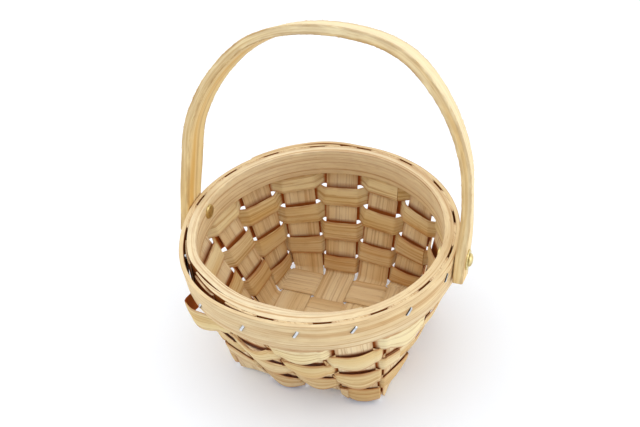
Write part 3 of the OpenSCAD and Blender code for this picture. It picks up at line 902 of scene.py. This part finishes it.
def makeHandle():
    # a rectangle with broken edges carried along the arch, a little uneven as sawn wood is
    h = handleSettings
    rng = np.random.default_rng(h["seed"])
    line, way, along, twist = handlePath()
    x, y, e = h["thick"] / 2, h["width"] / 2, h["edge"]
    broad, narrow = np.linspace(-y + e, y - e, 9), np.linspace(x - e, -x + e, 4)  # points on each side
    half = [(x, b) for b in broad] + [(a, y) for a in narrow]
    ring = np.array(half + [(-a, -b) for a, b in half])
    onEdge = np.array(([1] + [0] * 7 + [1] + [1, 0.4, 0.4, 1]) * 2)
    ends = np.minimum(along, along[-1] - along)
    free = smooth((ends - h["keepClear"]) / h["clearRun"])[:, None]
    dent = np.stack([np.abs(waves(along, rng, *h["unevenWaves"])) for _ in ring], 1)
    dent = dent * h["uneven"] * free
    ring = ring[None] - np.sign(ring)[None] * dent[..., None] * [1.0, h["narrowDent"]]
    sections = onHandle(line[:, None], way[:, None], twist[:, None], ring[..., 0], ring[..., 1])
    sections = leanBack(sections)
    around = lengths(ring[len(along) // 2, ::-1]) * mm + 2.0
    skin = tube(sections[:, ::-1], along * mm, around, onEdge[None, ::-1])
    addPiece("handle", skin, handleWood, "handle", ["handle"])


def fibre(start, way, length, thick):
    # a sliver that thins from a square root to its tip and bends to one side
    h = handleSettings
    side = np.cross(way, [0.31, 0.52, 0.79])  # any way that no sliver has
    side = side / np.linalg.norm(side)
    other = np.cross(way, side)
    t = np.linspace(0, 1, 4)[:, None, None]
    ring = np.stack([side, other, -side, -other])[None]
    bend = side * (h["fibreBend"] * length) * t**2
    return start + way * length * t + bend + ring * thick * (1 - h["fibreTaper"] * t)


def makeFibres():
    # loose slivers along the edges of the handle and at its sawn ends
    h = handleSettings
    rng = np.random.default_rng(h["seed"] + 1)
    line, way, along, twist = handlePath()
    skins = []
    for n in range(h["fibres"] + h["endFibres"]):
        atEnd = n >= h["fibres"]
        length = rng.uniform(*h["fibreLength"]) * (h["endLength"] if atEnd else 1.0)
        spot = 0 if n % 2 == 0 else len(along) - 1
        if not atEnd:
            spot = np.searchsorted(along, rng.uniform(h["fibreFrom"], along[-1] - h["fibreFrom"]))
        a = np.clip(spot + 1, 1, len(along) - 1)
        tangent = (line[a] - line[a - 1]) / np.linalg.norm(line[a] - line[a - 1])
        face, rim = rng.choice([-1, 1], 2)
        if atEnd:
            x, y = rng.uniform(-h["endReach"], h["endReach"], 2) * [h["thick"], h["width"]]
            lead = np.array([*(-tangent if spot == 0 else tangent), 0])
            lead = lead + rng.normal(0, h["endSpread"], 3)
        else:
            x = face * (h["thick"] / 2 - h["fibreInset"])
            y = rim * (h["width"] / 2 - h["fibreInset"])
            lead = np.array([*(tangent * rng.choice([-1, 1])), 0])
            lead = lead + np.array([*(way[spot] * face), rim]) * rng.uniform(*h["fibreSpread"], 3)
        start = onHandle(line[spot], way[spot], twist[spot], x, y)
        path = fibre(start, lead / np.linalg.norm(lead), length, h["fibreThick"])
        grain = np.linspace(0, length, len(path)) * mm + rng.uniform(0, 2)
        around = np.linspace(0, h["fibreGrain"], 4) + rng.uniform(0, 2)
        skins.append(tube(leanBack(path), grain, around))
    addPiece("handleFibres", joined(skins), handleWood, "handle", sharp=60)


makeHandle()
makeFibres()
print("handle made")

# rivets and washers

rivetSettings = dict(
    shank=1.6, bore=1.65, head=3.1, headHeight=1.6, innerHead=3.5, innerHeight=1.0,
    washer=4.8, washerThick=0.8, room=0.15, around=56, domeSteps=14,
    pole=0.15,  # radius of the small flat in the middle of the inner head
    crown=(0.12, 0.1), innerBevel=(0.4, 0.3), headBevel=0.1, domeRim=0.25, domeTurn=0.97,
    washerLow=(0.1, 0.12), washerHigh=0.25, boreBevel=(0.12, 0.1),
)


def spun(profile, side, closed):
    # a profile of (radius, distance along X) turned about the pivot, on the right or the left
    path = np.array(profile + profile[:1] if closed else profile)
    a = np.linspace(0, 2 * np.pi, rivetSettings["around"], endpoint=False)
    r, x = path[: len(profile), :1], path[: len(profile), 1:]
    points = np.stack([side * x + 0 * a, side * r * np.cos(a), r * np.sin(a) + pivotLevel], -1)
    return tube(points, lengths(path) * mm, a * r.max() * mm, capEnds=not closed)


def makeRivets():
    # a domed head outside, a flat head inside and a shank through both hoops; a washer under the dome
    q = rivetSettings
    washerSeat = handleOffset + handleSettings["thick"] / 2
    washerTop = washerSeat + q["washerThick"]
    seat = washerTop + q["room"]
    inner = math.sqrt(innerInside**2 - q["innerHead"] ** 2)
    back = inner - q["innerHeight"]
    t = np.linspace(0, math.pi / 2 * q["domeTurn"], q["domeSteps"])
    domeHeight = seat + q["domeRim"] + (q["headHeight"] - q["domeRim"]) * np.sin(t)
    dome = np.stack([q["head"] * np.cos(t), domeHeight], -1)
    rivet = [
        (q["pole"], back - q["crown"][0]), (q["shank"], back - q["crown"][1]),
        (q["innerHead"] - q["innerBevel"][0], back), (q["innerHead"], back + q["innerBevel"][1]),
        (q["innerHead"], inner), (q["shank"], inner), (q["shank"], seat),
        (q["head"] - q["headBevel"], seat), *dome.tolist(),
    ]
    washer = [
        (q["bore"], washerSeat), (q["washer"] - q["washerLow"][0], washerSeat),
        (q["washer"], washerSeat + q["washerLow"][1]), (q["washer"], washerTop - q["washerHigh"]),
        (q["washer"] - q["washerHigh"], washerTop), (q["bore"] + q["boreBevel"][0], washerTop),
        (q["bore"], washerTop - q["boreBevel"][1]),
    ]
    for side, end in ((1, "right"), (-1, "left")):
        name = f"rivet_{end}"
        addPiece(name, spun(rivet, side, False), rivetMetal, "basket", [name], 50)
        name = f"washer_{end}"
        addPiece(name, spun(washer, side, True), rivetMetal, "handle", [name], 50)


makeRivets()
print("rivets made")

# staples

stapleSettings = dict(
    crown=4.4, wire=1.3, thick=0.55, depth=6.2, slant=36.0, leg=5.4, bend=0.5, around=16, seed=77,
    strayUp=1.5, strayAlong=2.2, strayTurn=6.0, straight=1.0,
    square=0.45,  # below 1, the wire's section is squarer than round
    flankFrom=0.75, flankRun=0.2,  # where the painted dark reflection on the wire's flanks starts, and how fast it grows
    # stakes whose staples show in front: up, along and turn
    seen={0: (-4.4, 1.3, 4), 1: (-1.7, 2.1, 7), 2: (1.6, 1.3, 7), 3: (2.3, 0.2, 0), 4: (0.8, 0.6, -4)},
)


def squared(c):
    # rounds a circle's coordinate out towards a square
    return np.sign(c) * np.abs(c) ** stapleSettings["square"]


def stapleShape():
    # a flat wire carried along the crown and bent down into both legs; out is X, up is Z
    q = stapleSettings
    t = np.linspace(0, np.pi / 2, 8)
    top = (q["crown"] - q["thick"]) / 2
    bent = q["thick"] / 2 - q["bend"] + q["bend"] * np.sin(t)
    x = np.concatenate([[-q["leg"], -q["straight"]], bent])
    z = np.concatenate([[top, top], top - q["bend"] + q["bend"] * np.cos(t)])
    path = np.stack([np.concatenate([x, x[::-1]]), np.concatenate([z, -z[::-1]])], -1)
    way = np.gradient(path, axis=0)
    way = way / np.linalg.norm(way, axis=1)[:, None]
    a = np.linspace(0, 2 * np.pi, q["around"], endpoint=False)
    out = squared(np.cos(a)) * q["thick"] / 2
    across = np.broadcast_to(squared(np.sin(a)) * q["wire"] / 2, (len(path), len(a)))
    flat = path[:, None] + np.stack([-way[:, 1], way[:, 0]], -1)[:, None] * out[None, :, None]
    return np.stack([flat[..., 0], across, flat[..., 1]], -1), lengths(path) * mm, a * mm


def makeStaples():
    # one staple on every stake, set by hand and so a little uneven
    q, h = stapleSettings, hoopSettings["outer"]
    rng = np.random.default_rng(q["seed"])
    shape, along, around = stapleShape()
    # painted reflection: the flanks of the wire are darkened
    flank = smooth((np.abs(squared(np.sin(around / mm))) - q["flankFrom"]) / q["flankRun"])
    skins = []
    for j in range(wall["stakes"]):
        stray = rng.uniform(-1, 1, 3) * [q["strayUp"], q["strayAlong"], q["strayTurn"]]
        up, aside, lean = q["seen"].get(j, stray)
        angle = -90 + 360 / wall["stakes"] * (j - 1.5)  # the front is at -90
        angle = angle + wall["twist"] + math.degrees(aside / wall["rimRadius"])
        level = wall["height"] - q["depth"] + up
        a = (angle - h["start"] + 720) % 360
        shift, thick = hoopLine(np.array([a + 360 if a < h["lap"] else a]), h)
        radius = outerInside + float(slackAt(angle, level)) + float(shift[0] + thick[0])
        s, c = math.sin(math.radians(lean - q["slant"])), math.cos(math.radians(lean - q["slant"]))
        x, y = shape[..., 0] + radius, shape[..., 1] * c - shape[..., 2] * s
        z = shape[..., 1] * s + shape[..., 2] * c + level
        s, c = math.sin(math.radians(angle)), math.cos(math.radians(angle))
        placed = np.stack([x * c - y * s, x * s + y * c, z], -1)
        skins.append(tube(placed[:, ::-1], along, around, flank[None, ::-1]))
    addPiece("rim_staples", joined(skins), stapleMetal, "basket", ["rim_staples"], 50)


makeStaples()
print("staples made")

# floor and light

stageSettings = dict(
    floor=screen(249, 252, 255), floorRough=0.9, floorReach=6.0, sky=0.79,
    rear=0.2,  # the sky is this much brighter at the back, and dimmer at the front
    glow=0.35, glowFrom=(0.35, 1.3),  # the far floor is seen up to white, from and to these distances
    nearGlow=(0.02, 0.035, 0.07),  # the near floor, cool against the warm light that the wood throws
    lamps=dict(
        above=((-0.1, 0.0, 1.4), 1.4, 5.0),  # place, size, power
        right=((1.2, 0.15, 0.45), 1.0, 4.2),
        left=((-1.2, -0.1, 0.5), 1.0, 3.4),
    ),
    lampAim=(0.0, 0.0, 0.05),
)


def makeFloor(s):
    # a wide pale sheet under the basket, seen brighter further away
    mesh = bpy.data.meshes.new("floor")
    r = s["floorReach"]
    mesh.from_pydata([(-r, -r, 0), (r, -r, 0), (r, r, 0), (-r, r, 0)], [], [[0, 1, 2, 3]])
    f = Finish("floorPaper")
    place = f.node("ShaderNodeTexCoord", {}, {})[3]
    away = f.node("ShaderNodeVectorMath", dict(operation="LENGTH"), {0: place})[1]
    glow = f.mix(away.step(*s["glowFrom"]), s["nearGlow"], (s["glow"],) * 3)
    glow = f.mix(f.seen(), (0, 0, 0), glow)
    f.set({
        "Base Color": s["floor"],
        "Roughness": s["floorRough"],
        "Emission Color": glow,
        "Emission Strength": 1.0,
    })
    mesh.materials.append(f.material)
    floor = bpy.data.objects.new("floor", mesh)
    scene.collection.objects.link(floor)


def makeLamp(name, place, size, power):
    # a round soft box turned towards the basket
    data = bpy.data.lights.new(name, "AREA")
    data.shape, data.size, data.energy = "DISK", size, power
    lamp = bpy.data.objects.new(name, data)
    scene.collection.objects.link(lamp)
    way = np.array(stageSettings["lampAim"]) - place
    way = way / np.linalg.norm(way)
    side = np.cross(way, [0.0, 0.0, 1.0])
    side = side / np.linalg.norm(side)
    lamp.matrix_world = placedGrid(side, np.cross(side, way), -way, place)


def makeSky(s):
    # soft light all round, a little stronger from the back, seen as white
    scene.world = bpy.data.worlds.new("studio")
    scene.world.use_nodes = True
    g = Graph(scene.world.node_tree)
    toBack = g.split(g.node("ShaderNodeTexCoord", {}, {})[0])[1]
    light = s["sky"] + s["sky"] * s["rear"] * toBack
    back = scene.world.node_tree.nodes["Background"]
    g.put(back.inputs[0], (1.0, 1.0, 1.0))
    g.put(back.inputs[1], light + (1 - light) * g.seen())


makeFloor(stageSettings)
for name, lamp in stageSettings["lamps"].items():
    makeLamp(name, *lamp)
makeSky(stageSettings)
print("stage made")
